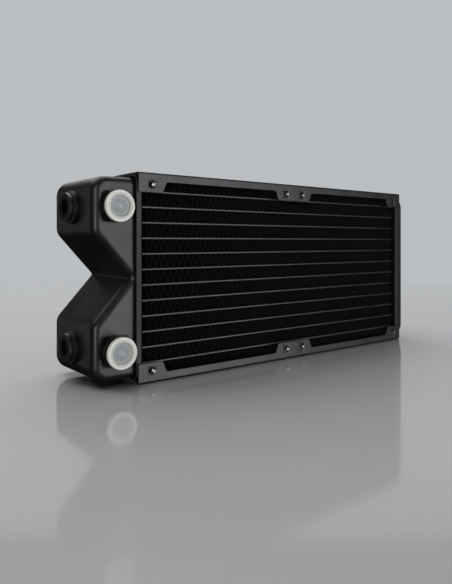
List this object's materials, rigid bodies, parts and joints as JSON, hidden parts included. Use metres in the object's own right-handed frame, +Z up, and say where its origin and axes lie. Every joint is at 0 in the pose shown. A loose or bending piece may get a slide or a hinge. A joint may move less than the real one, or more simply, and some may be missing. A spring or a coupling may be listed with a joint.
{
  "type": "liquid cooling radiator",
  "caption": "Liquid cooling radiator: a finned flat-tube core between folded steel fan rails, a notched port tank with plugged threaded ports, and a shallow return tank.",
  "frame": {"origin": "on the underside of the bottom rail, midway between the two fans' screw patterns and midway between front and back", "axes": "+X along the core, away from the port tank; -Y is the front with the dust-plugged ports; +Z up"},
  "size_m": [0.2829, 0.0654, 0.1185],
  "materials": {
    "rail_paint": "satin black powder coat on folded steel",
    "tank_paint": "satin black paint on formed brass",
    "core_paint": "thin matt black paint",
    "tube_paint": "thin satin black paint on brass tube",
    "fin_paint": "thin matt black paint on copper foil",
    "collar_paint": "black paint on turned brass",
    "bare_brass": "bare, inside the tank",
    "nut_steel": "zinc plated, blackened on its face",
    "plug_black": "satin black plating",
    "seal_rubber": "smooth black rubber",
    "cap_plastic": "milky translucent soft plastic"
  },
  "bodies": {
    "root": {"top_rail": "rail_paint", "bottom_rail": "rail_paint", "front_nuts": "nut_steel", "back_nuts": "nut_steel", "flat_tube_01": "tube_paint", "flat_tube_02": "tube_paint", "flat_tube_03": "tube_paint", "flat_tube_04": "tube_paint", "flat_tube_05": "tube_paint", "flat_tube_06": "tube_paint", "flat_tube_07": "tube_paint", "flat_tube_08": "tube_paint", "flat_tube_09": "tube_paint", "flat_tube_10": "tube_paint", "flat_tube_11": "tube_paint", "flat_tube_12": "tube_paint", "fin_strip_01": "fin_paint", "fin_strip_02": "fin_paint", "fin_strip_03": "fin_paint", "fin_strip_04": "fin_paint", "fin_strip_05": "fin_paint", "fin_strip_06": "fin_paint", "fin_strip_07": "fin_paint", "fin_strip_08": "fin_paint", "fin_strip_09": "fin_paint", "fin_strip_10": "fin_paint", "fin_strip_11": "fin_paint", "fin_strip_12": "fin_paint", "fin_strip_13": "fin_paint", "top_side_plate": "core_paint", "bottom_side_plate": "core_paint", "port_header": "tank_paint", "return_header": "tank_paint", "port_tank": "tank_paint", "return_tank": "tank_paint", "chamber_divider": "bare_brass", "upper_front_collar": "collar_paint", "lower_front_collar": "collar_paint", "upper_end_collar": "collar_paint", "lower_end_collar": "collar_paint"},
    "upper_ring_carrier": {"upper_sealing_ring": "seal_rubber"},
    "upper_stop_plug_body": {"upper_stop_plug": "plug_black"},
    "upper_dust_plug_body": {"upper_dust_plug": "cap_plastic"},
    "lower_ring_carrier": {"lower_sealing_ring": "seal_rubber"},
    "lower_stop_plug_body": {"lower_stop_plug": "plug_black"},
    "lower_dust_plug_body": {"lower_dust_plug": "cap_plastic"}
  },
  "joints": [
    {"name": "upper_plug_advance", "type": "slide", "parent": "root", "child": "upper_ring_carrier", "axis": [-1, 0, 0], "range_m": [0, 0.0067]},
    {"name": "upper_plug_turn", "type": "hinge", "parent": "upper_ring_carrier", "child": "upper_stop_plug_body", "pos_m": [-0.147, 0, 0.09872], "axis": [-1, 0, 0], "range_deg": [0, 1800]},
    {"name": "upper_dust_plug_pull", "type": "slide", "parent": "root", "child": "upper_dust_plug_body", "axis": [0, -1, 0], "range_m": [0, 0.0085]},
    {"name": "lower_plug_advance", "type": "slide", "parent": "root", "child": "lower_ring_carrier", "axis": [-1, 0, 0], "range_m": [0, 0.0067]},
    {"name": "lower_plug_turn", "type": "hinge", "parent": "lower_ring_carrier", "child": "lower_stop_plug_body", "pos_m": [-0.147, 0, 0.01972], "axis": [-1, 0, 0], "range_deg": [0, 1800]},
    {"name": "lower_dust_plug_pull", "type": "slide", "parent": "root", "child": "lower_dust_plug_body", "axis": [0, -1, 0], "range_m": [-0.0024, 0.0061]}
  ],
  "couplings": [
    {"joint": "upper_plug_advance", "follows": "upper_plug_turn", "m_per_rad": 0.00021279},
    {"joint": "lower_plug_advance", "follows": "lower_plug_turn", "m_per_rad": 0.00021279}
  ]
}
